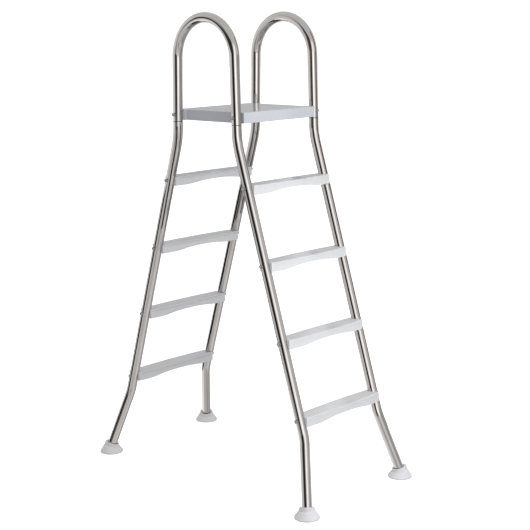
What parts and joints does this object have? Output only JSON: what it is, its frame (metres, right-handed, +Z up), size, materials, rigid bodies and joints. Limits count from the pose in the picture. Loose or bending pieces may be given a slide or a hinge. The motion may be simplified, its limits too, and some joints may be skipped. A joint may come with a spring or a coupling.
{
  "type": "pool ladder",
  "caption": "A-frame ladder for an above-ground pool, with steel handrails, splayed tube legs, plastic treads and a platform.",
  "frame": {"origin": "on the floor, midway between the four feet", "axes": "+Z up; X runs from the back flight to the front flight; +Y is the right-hand side of a person climbing the front flight"},
  "size_m": [1.1916, 0.6598, 1.82],
  "materials": {
    "polished_steel": "polished stainless",
    "fastener_steel": "satin",
    "tread_plastic": "satin, pale grey",
    "platform_plastic": "gloss, pale grey",
    "foot_rubber": "satin, off-white"
  },
  "bodies": {
    "root": {"handrail_left": "polished_steel", "handrail_right": "polished_steel", "platform": "platform_plastic", "tread_front_1": "tread_plastic", "tread_front_2": "tread_plastic", "tread_front_3": "tread_plastic", "tread_front_4": "tread_plastic", "leg_front_left": "polished_steel", "foot_front_left": "foot_rubber", "bolt_platform_front_left": "fastener_steel", "cap_nut_platform_front_left": "fastener_steel", "bolt_tread_front_1_left": "fastener_steel", "cap_nut_tread_front_1_left": "fastener_steel", "bolt_tread_front_2_left": "fastener_steel", "cap_nut_tread_front_2_left": "fastener_steel", "bolt_tread_front_3_left": "fastener_steel", "cap_nut_tread_front_3_left": "fastener_steel", "bolt_tread_front_4_left": "fastener_steel", "cap_nut_tread_front_4_left": "fastener_steel", "leg_front_right": "polished_steel", "foot_front_right": "foot_rubber", "bolt_platform_front_right": "fastener_steel", "cap_nut_platform_front_right": "fastener_steel", "bolt_tread_front_1_right": "fastener_steel", "cap_nut_tread_front_1_right": "fastener_steel", "bolt_tread_front_2_right": "fastener_steel", "cap_nut_tread_front_2_right": "fastener_steel", "bolt_tread_front_3_right": "fastener_steel", "cap_nut_tread_front_3_right": "fastener_steel", "bolt_tread_front_4_right": "fastener_steel", "cap_nut_tread_front_4_right": "fastener_steel", "tread_back_1": "tread_plastic", "tread_back_2": "tread_plastic", "tread_back_3": "tread_plastic", "tread_back_4": "tread_plastic", "leg_back_left": "polished_steel", "foot_back_left": "foot_rubber", "bolt_platform_back_left": "fastener_steel", "cap_nut_platform_back_left": "fastener_steel", "bolt_tread_back_1_left": "fastener_steel", "cap_nut_tread_back_1_left": "fastener_steel", "bolt_tread_back_2_left": "fastener_steel", "cap_nut_tread_back_2_left": "fastener_steel", "bolt_tread_back_3_left": "fastener_steel", "cap_nut_tread_back_3_left": "fastener_steel", "bolt_tread_back_4_left": "fastener_steel", "cap_nut_tread_back_4_left": "fastener_steel", "leg_back_right": "polished_steel", "foot_back_right": "foot_rubber", "bolt_platform_back_right": "fastener_steel", "cap_nut_platform_back_right": "fastener_steel", "bolt_tread_back_1_right": "fastener_steel", "cap_nut_tread_back_1_right": "fastener_steel", "bolt_tread_back_2_right": "fastener_steel", "cap_nut_tread_back_2_right": "fastener_steel", "bolt_tread_back_3_right": "fastener_steel", "cap_nut_tread_back_3_right": "fastener_steel", "bolt_tread_back_4_right": "fastener_steel", "cap_nut_tread_back_4_right": "fastener_steel"}
  },
  "joints": []
}
